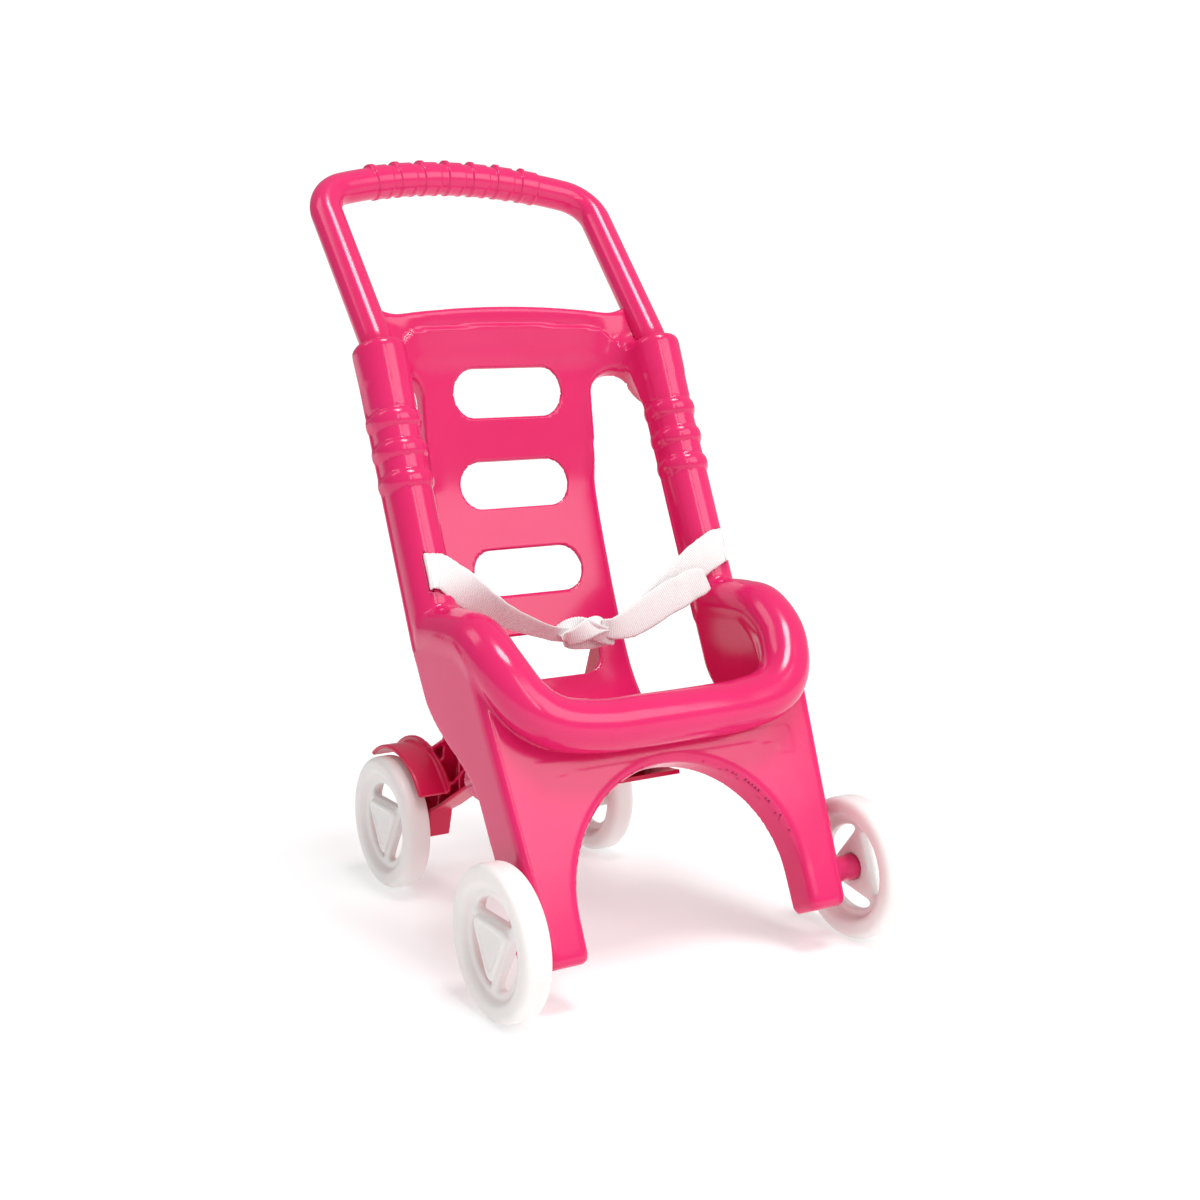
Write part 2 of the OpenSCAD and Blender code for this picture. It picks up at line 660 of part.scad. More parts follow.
// Centre line of one half of the strap in the lean frame, from the stop
// behind its slot, out over the front of the rail and down to the knot.
knot_x = -5;
knot_half = 13;
slot_turn = 20;
function around(turn, r, up) = [rail_x + r * sin(turn), rail_back - r * cos(turn), up];
function strap_line(side) = [around(slot_turn, rail_r - 7, strap_up), around(slot_turn, rail_r + 2, strap_up),
    around(4, rail_r + 2.6, strap_up - 1), around(-16, rail_r + 2.8, strap_up - 4),
    [rail_x - 20, rail_back - 16, strap_up - 12], [rail_x - 46, rail_back - 10, strap_up - 30],
    [rail_x - 76, rail_back - 5, strap_up - 44], [side * knot_x + knot_half, rail_back - 4, strap_up - strap_drop]];
strap_share = [1, 1, 1, 1, 1, 1, 0.9, 0.5];
strap_steps = 3;

function smooth3(line, steps) = [for (i = [0:len(line) - 2], k = [0:steps - (i < len(line) - 2 ? 1 : 0)])
    blend4(pick(line, i - 1), pick(line, i), pick(line, i + 1), pick(line, i + 2), k / steps)];
function ribbon_ring(line, share, i) = let (t = unit(pick(line, i + 1) - pick(line, i - 1)),
    u = unit([0, 0, 1] - t[2] * t), n = cross(t, u), w = share[i] * strap_w / 2)
    [for (c = [[-1, -1], [1, -1], [1, 1], [-1, 1]]) line[i] + c[0] * w * u + c[1] * strap_t / 2 * n];

module ribbon(line, share) {
    last = len(line) - 1;
    rings = [for (i = [0:last]) each ribbon_ring(line, share, i)];
    walls = [for (i = [0:last - 1], k = [0:3]) [4 * i + k, 4 * i + (k + 1) % 4,
        4 * i + 4 + (k + 1) % 4, 4 * i + 4 + k]];
    polyhedron(rings, concat([[3, 2, 1, 0]], walls, [[4 * last, 4 * last + 1, 4 * last + 2, 4 * last + 3]]));
}

module strap(side) {
    color(webbing) lean() mirror_if(side)
        ribbon(smooth3(strap_line(side), strap_steps), smooth3(strap_share, strap_steps));
}

module strap_knot() {
    knot_r = strap_w / 4;
    knot_up = strap_up - strap_drop;
    half = knot_half - knot_r - 0.2;
    color(webbing) lean() translate([knot_x, rail_back - 4, knot_up]) {
        translate([-half, 0, 0]) rotate([0, 90, 0]) cylinder(h = 2 * half, r = knot_r);
        for (x = [-half, half]) translate([x, 0, 0]) sphere(r = knot_r);
    }
}

// Bar that keeps the strap's end from being pulled out through its slot.
module strap_stop(side) {
    bar_r = 2.5;
    color(milk) lean() mirror_if(side) translate(around(slot_turn, rail_r - 7 - bar_r - 0.05, strap_up - strap_w / 2 - 2))
        cylinder(h = strap_w + 4, r = bar_r);
}

rail(-1);  // rail_left
rail(1);  // rail_right
side(-1);  // side_left
side(1);  // side_right
front_panel();
arch_lip_band();  // arch_lip
bumper_bar();
bumper_arm(-1);  // bumper_arm_left
bumper_arm(1);  // bumper_arm_right
seat_pan();
seat_back();
header();
handle();
rear_leg_bracket();
rear_arm(-1);  // rear_arm_left
rear_arm(1);  // rear_arm_right
rear_leg_screws();
pin_at(front_hub_x, 0, -1);  // pin_front_left
pin_at(front_hub_x, 0, 1);  // pin_front_right
pin_at(rear_hub_x, wheelbase, -1);  // pin_rear_left
pin_at(rear_hub_x, wheelbase, 1);  // pin_rear_right
wheel_at(front_hub_x, 0, -1);  // wheel_front_left
wheel_at(front_hub_x, 0, 1);  // wheel_front_right
wheel_at(rear_hub_x, wheelbase, -1);  // wheel_rear_left
wheel_at(rear_hub_x, wheelbase, 1);  // wheel_rear_right
nut_at(front_hub_x, 0, -1);  // push_nut_front_left
nut_at(front_hub_x, 0, 1);  // push_nut_front_right
nut_at(rear_hub_x, wheelbase, -1);  // push_nut_rear_left
nut_at(rear_hub_x, wheelbase, 1);  // push_nut_rear_right
cap_at(front_hub_x, 0, -1);  // hub_cap_front_left
cap_at(front_hub_x, 0, 1);  // hub_cap_front_right
cap_at(rear_hub_x, wheelbase, -1);  // hub_cap_rear_left
cap_at(rear_hub_x, wheelbase, 1);  // hub_cap_rear_right
strap(-1);  // strap_left
strap(1);  // strap_right
strap_knot();
strap_stop(-1);  // strap_stop_left
strap_stop(1);  // strap_stop_right
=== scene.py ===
import json
import math
import bpy
import numpy as np
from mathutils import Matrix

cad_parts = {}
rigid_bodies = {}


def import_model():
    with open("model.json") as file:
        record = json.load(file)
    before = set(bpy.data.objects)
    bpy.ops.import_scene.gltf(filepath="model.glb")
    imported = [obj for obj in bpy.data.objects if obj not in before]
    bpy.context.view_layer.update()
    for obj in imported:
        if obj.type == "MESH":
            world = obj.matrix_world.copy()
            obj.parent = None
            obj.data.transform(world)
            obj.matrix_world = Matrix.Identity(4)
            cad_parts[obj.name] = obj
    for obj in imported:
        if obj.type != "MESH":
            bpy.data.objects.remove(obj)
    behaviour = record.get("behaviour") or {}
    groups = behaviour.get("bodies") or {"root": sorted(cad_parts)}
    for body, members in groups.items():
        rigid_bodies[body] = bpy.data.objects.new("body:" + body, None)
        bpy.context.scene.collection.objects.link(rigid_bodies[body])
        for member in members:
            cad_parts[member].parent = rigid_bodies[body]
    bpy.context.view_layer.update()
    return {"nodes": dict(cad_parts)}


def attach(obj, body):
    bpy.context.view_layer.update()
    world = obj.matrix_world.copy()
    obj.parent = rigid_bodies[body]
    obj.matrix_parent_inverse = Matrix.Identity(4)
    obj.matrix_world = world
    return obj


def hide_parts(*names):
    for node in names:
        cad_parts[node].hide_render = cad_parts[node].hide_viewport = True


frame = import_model()

MM = 0.001
LEAN = math.radians(24.2)
FOOT_Y, FOOT_Z = -168.916, 34.258  # front lower edge of the feet, in mm
FRONT_AXLE_Y, REAR_AXLE_Y, AXLE_Z = -145.397, 121.603, 50.0


# ---- camera ----------------------------------------------------------------
def make_camera():
    """Three-quarter front view from a little above the handle's header."""
    data = bpy.data.cameras.new("camera")
    camera = bpy.data.objects.new("camera", data)
    bpy.context.scene.collection.objects.link(camera)
    data.lens, data.sensor_width = 52.76, 36
    data.shift_x, data.shift_y = -0.00125, -0.0031
    camera.location = (-0.6304, -1.05565, 0.4430)
    camera.rotation_euler = (math.radians(80.29), 0, math.radians(-31.75))
    bpy.context.scene.camera = camera


make_camera()


# ---- small helpers ---------------------------------------------------------
def ease(t):
    """0 below 0, 1 above 1, with a smooth S between them."""
    t = np.clip(t, 0, 1)
    return t * t * (3 - 2 * t)


def both(a, b, k):
    """Union of two solids whose meeting is filled with a fillet of about k mm."""
    h = np.maximum(k - np.abs(a - b), 0)
    return np.minimum(a, b) - h * h / (4 * k)


def cut(a, b, k):
    """What two solids share, with their common edge rounded by about k mm."""
    return -both(-a, -b, k)


def curve_through(points, steps):
    """Catmull-Rom curve through the points, with that many steps a span."""
    p = np.array(points, float)
    p = np.vstack([2 * p[0] - p[1], p, 2 * p[-1] - p[-2]])
    t = np.linspace(0, 1, steps, endpoint=False)[None, :, None]
    a, b, c, d = (p[i:len(p) - 3 + i, None] for i in range(4))
    s = 0.5 * (2 * b + (c - a) * t + (2 * a - 5 * b + 4 * c - d) * t**2 + (3 * b - a - 3 * c + d) * t**3)
    return np.vstack([s.reshape(-1, p.shape[1]), p[-2]])


def unit(v):
    return v / np.maximum(np.linalg.norm(v, axis=-1, keepdims=True), 1e-12)


def look_up(table, low, step, p, q):
    """Smooth (bicubic) reading of a table of values on a square grid."""
    p, q = np.broadcast_arrays((p - low[0]) / step, (q - low[1]) / step)
    p = np.clip(p, 1, table.shape[0] - 2.001)
    q = np.clip(q, 1, table.shape[1] - 2.001)
    i, j = p.astype(np.int32), q.astype(np.int32)

    def weights(t):
        return [((2 - t) * t - 1) * t / 2, ((3 * t - 5) * t * t + 2) / 2,
                ((4 - 3 * t) * t + 1) * t / 2, (t - 1) * t * t / 2]

    u, v = weights(p - i), weights(q - j)
    return sum(u[m] * v[n] * table[i + m - 1, j + n - 1] for m in range(4) for n in range(4))


def new_piece(name, points, faces, normals=None, smooth=True):
    """Mesh object at the origin, from points in metres and faces of 3 or 4."""
    mesh = bpy.data.meshes.new(name)
    mesh.from_pydata(np.asarray(points, float).tolist(), [], [list(map(int, f)) for f in faces])
    mesh.polygons.foreach_set("use_smooth", np.full(len(mesh.polygons), smooth))
    if normals is not None:
        mesh.normals_split_custom_set_from_vertices(np.asarray(normals, float).tolist())
    mesh.update()
    obj = bpy.data.objects.new(name, mesh)
    bpy.context.scene.collection.objects.link(obj)
    return obj


def slope(field, p, h):
    """Slope of a field at points, from differences h to either side."""
    g = np.empty_like(p)
    for k in range(3):
        step = np.zeros(3)
        step[k] = h
        g[:, k] = (field(*(p + step).T) - field(*(p - step).T)) / (2 * h)
    return g


def skin(field, low, high, step):
    """Skin of the solid where field(x, y, z) is below 0. Every grid cell that the
    surface crosses gets one point, at the mean of its edges' crossings, and
    the points then slide down the field's slope until they lie on it."""
    axes = [np.arange(a, b + step, step) for a, b in zip(low, high)]
    f = field(axes[0][:, None, None], axes[1][None, :, None], axes[2][None, None, :])
    f = np.broadcast_to(f, [len(a) for a in axes]).astype(np.float32)
    inside = f < 0
    n = [s - 1 for s in f.shape]
    corners = [(a, b, c) for a in (0, 1) for b in (0, 1) for c in (0, 1)]

    def shifted(grid, c):
        return grid[c[0]:c[0] + n[0], c[1]:c[1] + n[1], c[2]:c[2] + n[2]]

    count = sum(shifted(inside, c).astype(np.int8) for c in corners)
    cell = (count > 0) & (count < 8)
    index = np.full(cell.shape, -1, np.int32)
    index[cell] = np.arange(cell.sum())
    values = {c: shifted(f, c)[cell] for c in corners}
    total, hits = np.zeros((cell.sum(), 3)), np.zeros(cell.sum())
    for c in corners:
        for k in range(3):
            if c[k] == 0:
                d = tuple(1 if m == k else c[m] for m in range(3))
                a, b = values[c], values[d]
                crossed = (a < 0) != (b < 0)
                t = np.where(crossed, a / np.where(crossed, a - b, 1), 0)
                at = np.repeat(np.array(c, float)[None], len(t), 0)
                at[:, k] = t
                total += at * crossed[:, None]
                hits += crossed
    p = np.argwhere(cell) + total / hits[:, None]
    p = np.array(low, float) + p * step
    quads = []
    for k in range(3):
        m, o = (k + 1) % 3, (k + 2) % 3
        a = np.take(inside, range(0, inside.shape[k] - 1), k)
        b = np.take(inside, range(1, inside.shape[k]), k)
        at = np.argwhere(a != b)
        at = at[(at[:, m] > 0) & (at[:, o] > 0) & (at[:, m] < n[m]) & (at[:, o] < n[o])]
        out = a[tuple(at.T)]
        around = []
        for dm, do in ((1, 1), (0, 1), (0, 0), (1, 0)):
            q = at.copy()
            q[:, m] -= dm
            q[:, o] -= do
            around.append(index[tuple(q.T)])
        quad = np.stack(around, 1)
        quads.append(np.where(out[:, None], quad, quad[:, ::-1]))
    for _ in range(3):
        g = slope(field, p, 0.2 * step)
        move = field(*p.T)[:, None] * g / np.maximum((g * g).sum(1), 0.05)[:, None]
        p -= np.clip(move, -0.6 * step, 0.6 * step)
    return p, np.vstack(quads), unit(slope(field, p, 0.25 * step))


def lean_to_frame(p):
    """Body's lean frame (across, back, up along the lean) in mm, to metres."""
    c, s = math.cos(LEAN), math.sin(LEAN)
    y, z = FOOT_Y + p[:, 1] * c + p[:, 2] * s, FOOT_Z - p[:, 1] * s + p[:, 2] * c
    return np.stack([p[:, 0], y, z], 1) * MM


def lean_turn(n):
    c, s = math.cos(LEAN), math.sin(LEAN)
    return np.stack([n[:, 0], n[:, 1] * c + n[:, 2] * s, -n[:, 1] * s + n[:, 2] * c], 1)


# ---- body moulding ---------------------------------------------------------
WALL = 3.0
RAIL_X, RAIL_BACK, RAIL_R, RAIL_RIM = 114.0, 66.5, 16.5, 75.5
BODY_TOP, SOCKET_LOW = 441.0, 409.0
RING_UPS = (383.0, 361.0, 339.0)
ARCH_R, ARCH_UP, LIP_DEPTH = 87.5, 28.0, 25.0
FOOT_X, SIDE_SLOPE = 116.0, 0.0636
INNER_X = 97.5
SLOT_UPS = (416.0, 351.0, 286.0, 221.0)
PLUG_BACK, PLUG_R = 69.5, 11.75
ARM_R = 17.5

SEAT_LINE = curve_through([(0, 123.8), (30, 120.5), (60, 122), (90, 135), (112, 158), (126, 190), (130, 225),
                           (128, 287), (121, 352), (101, 420), (90, 444), (78.5, 466), (73, 484)], 40)
ARM_LINE = curve_through([(-20, -15.9, 142.8), (0, -15.8, 142.8), (30, -15.5, 143), (55, -14.6, 143.8),
                          (83, -13.8, 149.2), (101, -11.4, 163.4), (111, -4.1, 188.6), (113.5, 11.3, 211.5),
                          (114, 31, 221.8), (114, 58.8, 231.8)], 24)
ARM_TURN = np.gradient(ARM_LINE, axis=0)
ARM_STEP = np.linalg.norm(ARM_TURN, axis=1, keepdims=True)
ARM_TURN = ARM_TURN / ARM_STEP
ARM_BEND = np.gradient(ARM_TURN, axis=0) / ARM_STEP
POINTS_A_BATCH = 20000


def seat_table():
    """Distance from the seat's middle line, positive behind it, on a 2 mm grid."""
    v, w = np.arange(-14, 160, 2.0), np.arange(92, 500, 2.0)
    p = np.stack(np.meshgrid(v, w, indexing="ij"), -1).reshape(-1, 1, 2)
    a, b = SEAT_LINE[:-1], SEAT_LINE[1:]
    d = b - a
    t = np.clip(((p - a) * d).sum(-1) / (d * d).sum(-1), 0, 1)
    off = p - (a + t[..., None] * d)
    away = np.linalg.norm(off, axis=-1)
    near = away.argmin(1)
    rows = np.arange(len(p))
    side = d[near, 1] * off[rows, near, 0] - d[near, 0] * off[rows, near, 1]
    return (away[rows, near] * np.sign(side)).reshape(len(v), len(w))


SEAT_TABLE = seat_table()


def arm_field(x, v, w):
    """Distance from the bumper arm's centre curve less its radius: the nearest
    point of the curve is found, then slid along its own circle of bend."""
    x, v, w = np.broadcast_arrays(x, v, w)
    near = (v < 84) & (w > 104) & (w < 276) & (v > -44)
    out = np.full(x.shape, 60.0)
    p = np.stack([np.abs(x[near]), v[near], w[near]], 1)
    pick = np.zeros(0, int)
    if len(p):
        batches = np.array_split(p, max(1, len(p) // POINTS_A_BATCH))
        pick = np.concatenate([((q * q).sum(1)[:, None] - 2 * q @ ARM_LINE.T + (ARM_LINE**2).sum(1)).argmin(1)
                               for q in batches])
    off = p - ARM_LINE[pick]
    t, k = ARM_TURN[pick], ARM_BEND[pick]
    s = (off * t).sum(1) / np.maximum(1 - (off * k).sum(1), 0.3)
    s = np.clip(s, -3, 3)
    foot = ARM_LINE[pick] + t * s[:, None] + 0.5 * k * (s * s)[:, None]
    out[near] = np.linalg.norm(p - foot, axis=1) - ARM_R
    return out


def capsule_slot(a, w, centre_up, half_x, r):
    return np.hypot(np.maximum(a - half_x, 0), w - centre_up) - r


def seat_field(a, v, w):
    """Curved strip of the seat: pan, back with its openings, and header. Its
    edges are turned back, and the header has a set-back band at its top."""
    off = look_up(SEAT_TABLE, (-14, 92), 2.0, v, w)
    line_back = np.interp(w, SEAT_LINE[160:, 1], SEAT_LINE[160:, 0])
    bow = np.clip(line_back - 77.5, 0, 42) * ease((w - 346) / 24)
    reach = np.clip((a - 56) / 44, 0, 1.1)
    off = off + bow * reach * reach
    top = 475.0 - 4.5 * (a / 85) ** 2 + 5 * np.clip((a - 84) / 18, 0, 1) ** 2
    narrow = 70.5 + 27.5 * (1 - ease((w - 132) / 36)) + 2 * (w < 132)
    out = np.where(a > 84, np.maximum(a - 84 - 0.33 * np.maximum(413 - w, 0), 0), 84 - a)
    opening = np.hypot(out, np.maximum(w - 413, 0)) - 13.0
    header = cut(cut(a - 108, -opening, 1.5), 378 - w, 4)
    across = cut(both((a - narrow) * 0.85, header, 2), w - top, 6)
    ridge = 461.0 - 4 * (a / 85) ** 2 - 30 * np.clip((a - 74) / 26, 0, 1.2) ** 2
    ledge = 2.2 * ease((w - ridge) / 3.0 + 0.5) * (w > 380)
    shape = cut(across, -(off + 1.5 - ledge), 5.0)
    thick = WALL + 2.6 * ease((a - 66) / 20)
    shell = cut(cut(shape, -(shape + thick), 0.8), off - 11.5, 1.5)
    for up in SLOT_UPS:
        shell = cut(shell, -capsule_slot(a, w, up, 28, 17), 1.6)
    return cut(shell, 2.4 - v, 0.6)


def rail_radius(w):
    """Rail's radius: rings stand out as half rounds, and the socket widens upwards."""
    r = RAIL_R
    for up in RING_UPS:
        r = np.maximum(r, RAIL_R - 1.2 + 3.4 * np.sqrt(np.maximum(1 - ((w - up) / 6.6) ** 2, 0)))
    return r + (0.7 + 0.9 * ease((w - 392) / 50)) * ease((w - 390.5) / 1.6)


def rim_back(w):
    """Depth of a side's rear rim: the rail's depth above, and the leg's below."""
    return 38.0 + 37.5 * ease((w - 112) / 80) + 6 * ease((60 - w) / 60)


def body_field(x, v, w):
    a = np.abs(x)
    # wall of the panel, the legs and the sides, as a section across the lean
    outer = (a - FOOT_X - SIDE_SLOPE * np.minimum(w, 228)) * 0.998
    arch = ARCH_R - np.hypot(a, np.maximum(w - ARCH_UP, 0))
    panel = cut(cut(outer, arch, 4), w - np.interp(a, ARM_LINE[:200, 0], ARM_LINE[:200, 2] - 3), 2)
    side = cut(outer, INNER_X - a, 5)
    section = cut(both(panel, side, 5), -w, 6)
    lip_share = ease((arch - outer) / 8 + 0.5)
    depth = rim_back(w) + (LIP_DEPTH - rim_back(w)) * lip_share
    arm_top = np.interp(v, [-4.1, 11.3, 31, 58.8, 90], [188.6, 211.5, 221.8, 231.8, 238])
    block = cut(section, -v, 7.5)
    block = cut(cut(block, v - depth, 2.4), (w - arm_top) * 0.9, 3)
    arm = arm_field(x, v, w)
    hollow = cut(cut(section + WALL, WALL - v, 4), (w - arm_top) * 0.9 + 2, 2)
    hollow = np.maximum(hollow, -arm - 0.4)
    block = cut(block, -hollow, 0.8)
    boss = cut(np.hypot(v - 15, w - 24) - 9, np.maximum(a - 140.6, 104 - a), 1.2)
    block = both(block, boss, 2.5)
    # rails, sockets and the arms that run into them
    round_it = np.hypot(a - RAIL_X, np.minimum(v - RAIL_BACK, 0))
    radius = np.maximum(rail_radius(w), RAIL_R + 1.1 * ease((v - 71) / 1.2))
    rail = cut(cut(round_it - radius, v - RAIL_RIM, 2), np.maximum(w - BODY_TOP, 219 - w), 7)
    socket = cut(np.hypot(a - RAIL_X, v - RAIL_BACK) - radius,
                 np.maximum(w - BODY_TOP, SOCKET_LOW - 1 - w), 7)
    rail = both(rail, socket, 2)
    blend = 0.5 + 6.5 * ease((13.5 - np.abs(a - RAIL_X)) / 6)
    solid = both(both(block, rail, blend), arm, 3.2)
    channel = cut(round_it - RAIL_R + WALL, np.maximum(w - SOCKET_LOW, np.maximum(196 - w, v - 80)), 2)
    solid = cut(solid, -np.maximum(channel, -arm - 0.4), 0.8)
    # seat strip, with fuller fillets where the header meets the sockets
    solid = both(solid, seat_field(a, v, w), 3.5 + 9 * ease((w - 380) / 20))
    plug = np.maximum(np.hypot(a - RAIL_X, v - PLUG_BACK) - PLUG_R - 0.1, 411 - w)
    solid = cut(solid, -plug, 0.6)
    c, s = math.cos(math.radians(20)), math.sin(math.radians(20))
    across, out = (a - RAIL_X) * c + (v - RAIL_BACK) * s, (a - RAIL_X) * s - (v - RAIL_BACK) * c
    slot = np.maximum(np.maximum(np.abs(across) - 1.0, np.abs(w - 272) - 12.8), 8 - out)
    return cut(solid, -slot, 0.8)


BODY_GRID = 2.15
points, quads, normals = skin(body_field, (-144, -36, -4), (144, 148, 484), BODY_GRID)
body = new_piece("body_moulding", lean_to_frame(points), quads, lean_turn(normals))
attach(body, "frame")
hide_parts("rail_left", "rail_right", "side_left", "side_right", "front_panel", "arch_lip",
            "bumper_bar", "bumper_arm_left", "bumper_arm_right", "seat_pan", "seat_back", "header")


# ---- handle ----------------------------------------------------------------
def sweep(centres, radii, side_ref, sides, extra=None):
    """Rings of `sides` points round each centre, joined into a tube with both
    ends closed. extra(angle) adds to the radius."""
    c = np.asarray(centres, float)
    t = unit(np.gradient(c, axis=0))
    u = unit(side_ref - (t @ side_ref)[:, None] * t)
    v = np.cross(t, u)
    angle = np.linspace(0, 2 * math.pi, sides, endpoint=False)
    r = np.repeat(np.asarray(radii, float)[:, None], sides, 1)
    if extra is not None:
        r = r + extra(angle)
    round_it = np.cos(angle)[None, :, None] * u[:, None] + np.sin(angle)[None, :, None] * v[:, None]
    p = c[:, None] + r[..., None] * round_it
    n = len(c)
    i, k = np.meshgrid(np.arange(n - 1), np.arange(sides), indexing="ij")
    k1 = (k + 1) % sides
    quads = np.stack([i * sides + k, i * sides + k1, (i + 1) * sides + k1, (i + 1) * sides + k], -1)
    quads = quads.reshape(-1, 4)
    faces = quads.tolist() + [list(range(sides))[::-1], [(n - 1) * sides + m for m in range(sides)]]
    return p.reshape(-1, 3), faces


HANDLE_LEAN = math.radians(41.5)
OFF_THE_BAR = 999.0  # stands for a distance along the bar at points of the legs
HANDLE_LEN, BEND_R, CORNER_R, BOW_R, HANDLE_R = 157.0, 20.0, 28.0, 330.0, 11.75
GRIPS, GRIP_PITCH, GRIP_W, GRIP_STEP = 7, 21.0, 14.0, 1.1


def handle_line():
    """Right half of the handle's centre line from the plug up to the middle of
    the bar, in mm in the frame, with the distance along the bar from its
    middle: straight plug, short bend, leg, round corner and bowed bar."""
    top = lean_to_frame(np.array([[RAIL_X, PLUG_BACK, 413], [RAIL_X, PLUG_BACK, BODY_TOP]])) / MM
    turn = np.linspace(0, HANDLE_LEAN - LEAN, 8)[1:]
    bend = np.stack([np.full(7, RAIL_X), PLUG_BACK + BEND_R * (1 - np.cos(turn)),
                     BODY_TOP + BEND_R * np.sin(turn)], 1)
    bend = lean_to_frame(bend) / MM
    start = bend[-1]
    sh, ch = math.sin(HANDLE_LEAN), math.cos(HANDLE_LEAN)
    bow_centre, reach = HANDLE_LEN - BOW_R, BOW_R - CORNER_R
    corner_x = RAIL_X - CORNER_R
    half = math.asin(corner_x / reach)
    corner_up = bow_centre + reach * math.cos(half)
    turns = np.linspace(0, math.pi / 2 - half, 22)
    corner = np.stack([corner_x + CORNER_R * np.cos(turns), corner_up + CORNER_R * np.sin(turns)], 1)
    bar = np.linspace(half, 0, 220)[1:]
    bow = np.stack([BOW_R * np.sin(bar), bow_centre + BOW_R * np.cos(bar)], 1)
    leg = np.stack([np.full(14, RAIL_X), np.linspace(4, corner_up, 15)[:-1]], 1)
    plane = np.vstack([leg, corner, bow])
    line = np.stack([plane[:, 0], start[1] + plane[:, 1] * sh, start[2] + plane[:, 1] * ch], 1)
    along = np.concatenate([np.full(2 + 7 + 14 + 22, OFF_THE_BAR), BOW_R * bar])
    return np.vstack([top[:1], np.linspace(top[0], top[1], 6)[1:], bend, line]), along


def make_handle():
    half, along = handle_line()
    along = np.concatenate([np.full(len(half) - len(along), OFF_THE_BAR), along])
    line = np.vstack([half, (half * [-1, 1, 1])[-2::-1]])
    along = np.concatenate([along, -along[-2::-1]])
    along[np.abs(along) > 900] = OFF_THE_BAR
    centre = np.round(np.clip(along / GRIP_PITCH, -(GRIPS // 2), GRIPS // 2)) * GRIP_PITCH
    off = along - centre
    ring = ease((GRIP_W / 2 - np.abs(off)) / 0.7 + 0.5)
    fin = ease((1.6 - np.abs(off + 5.4)) / 0.5 + 0.5)
    flat = ease((GRIP_W / 2 - 2.4 - np.abs(off)) / 0.8)

    def shaped(angle):
        top_rear = ease((np.cos(angle - math.radians(-100)) - 0.45) / 0.3)
        under = ease((np.cos(angle - math.radians(65)) - 0.75) / 0.1)
        return GRIP_STEP * ring[:, None] + 1.3 * fin[:, None] * top_rear - 0.5 * flat[:, None] * under

    square_to_bow = np.array([0, math.cos(HANDLE_LEAN), -math.sin(HANDLE_LEAN)])
    points, faces = sweep(line, np.full(len(line), HANDLE_R - 0.05), square_to_bow, 64, shaped)
    return new_piece("handle_bow", points * MM, faces)


handle = make_handle()
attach(handle, "frame")
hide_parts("handle")


# ---- rear leg unit ---------------------------------------------------------
def polygon_distance(points, y, z):
    """Signed distance from a closed outline, negative inside it."""
    y, z = np.broadcast_arrays(y, z)
    best, inside = np.full(y.shape, 1e9), np.zeros(y.shape, bool)
    for (ay, az), (by, bz) in zip(points, points[1:] + points[:1]):
        ey, ez = by - ay, bz - az
        t = np.clip(((y - ay) * ey + (z - az) * ez) / (ey * ey + ez * ez), 0, 1)
        best = np.minimum(best, (y - ay - t * ey) ** 2 + (z - az - t * ez) ** 2)
        if ez:
            inside ^= ((az > z) != (bz > z)) & (y < ey * (z - az) / ez + ay)
    return np.sqrt(best) * np.where(inside, -1, 1)


def seat_rear(first, last, off):
    """Points of the seat line from one knot to another, set back from it."""
    line = SEAT_LINE[40 * first:40 * last + 1]
    d = unit(np.gradient(line, axis=0))
    p = line + off * np.stack([d[:, 1], -d[:, 0]], 1)
    q = lean_to_frame(np.column_stack([np.zeros(len(p)), p])) / MM
    return q[:, 1:]


# Outline of a rear arm, back and up, in mm in the frame; its front edge lies
# along the back of the seat.
ARM_REAR = [(50.8, 195.6), (73.65, 136), (80.65, 120), (123.65, 97), (137.65, 78), (135.65, 37),
            (107.65, 37), (101.65, 58), (85.65, 66), (28.65, 99)]
GUARD_START, GUARD_END = 52, 148  # degrees up from straight back
GUARD_IN, GUARD_OUT = 63.5, 89
ARM_OUTLINE = ARM_REAR + [tuple(q) for q in seat_rear(3, 6, 1.6)[::10]]


def rear_arm_field(x, y, z):
    """One ribbed arm: a web with a turned rim, open outwards, its boss, ribs
    across the channel, and the mudguard over the wheel."""
    edge = polygon_distance(ARM_OUTLINE, y, z)
    block = cut(edge, np.maximum(47 - x, x - 66.5), 1.6)
    hollow = cut(edge + WALL, 50 - x, 2)
    arm = cut(block, -hollow, 0.8)
    ribs = np.full(np.broadcast(y, z).shape, 50.0)
    for ay, az, by, bz in ((40, 112, 84, 78), (62, 140, 60, 84), (84, 116, 96, 64), (100, 106, 122, 70)):
        ey, ez = by - ay, bz - az
        t = np.clip(((y - ay) * ey + (z - az) * ez) / (ey * ey + ez * ez), 0, 1)
        ribs = np.minimum(ribs, np.hypot(y - ay - t * ey, z - az - t * ez) - 1.2)
    ribs = cut(cut(ribs, edge + 1, 1), np.maximum(48 - x, x - 63), 1)
    arm = both(arm, ribs, 2)
    ry, rz = y - REAR_AXLE_Y, z - AXLE_Z
    r = np.hypot(ry, rz)
    boss = cut(r - 9, np.maximum(48 - x, x - 89.6), 1.2)
    arm = both(arm, boss, 2)
    turn = np.degrees(np.arctan2(rz, ry))
    guard = cut(np.abs(r - 56.6) - 1.6, np.maximum(GUARD_IN - x, x - GUARD_OUT), 1.6)
    guard = cut(guard, np.maximum(GUARD_START - turn, turn - GUARD_END) * 0.9, 1.6)
    lip = cut(np.abs(x - 65) - 1.5, np.abs(r - 59) - 3.5, 1.2)
    lip = cut(lip, np.maximum(GUARD_START - turn, turn - GUARD_END) * 0.9, 1.6)
    return both(arm, both(guard, lip, 2), 2.5)


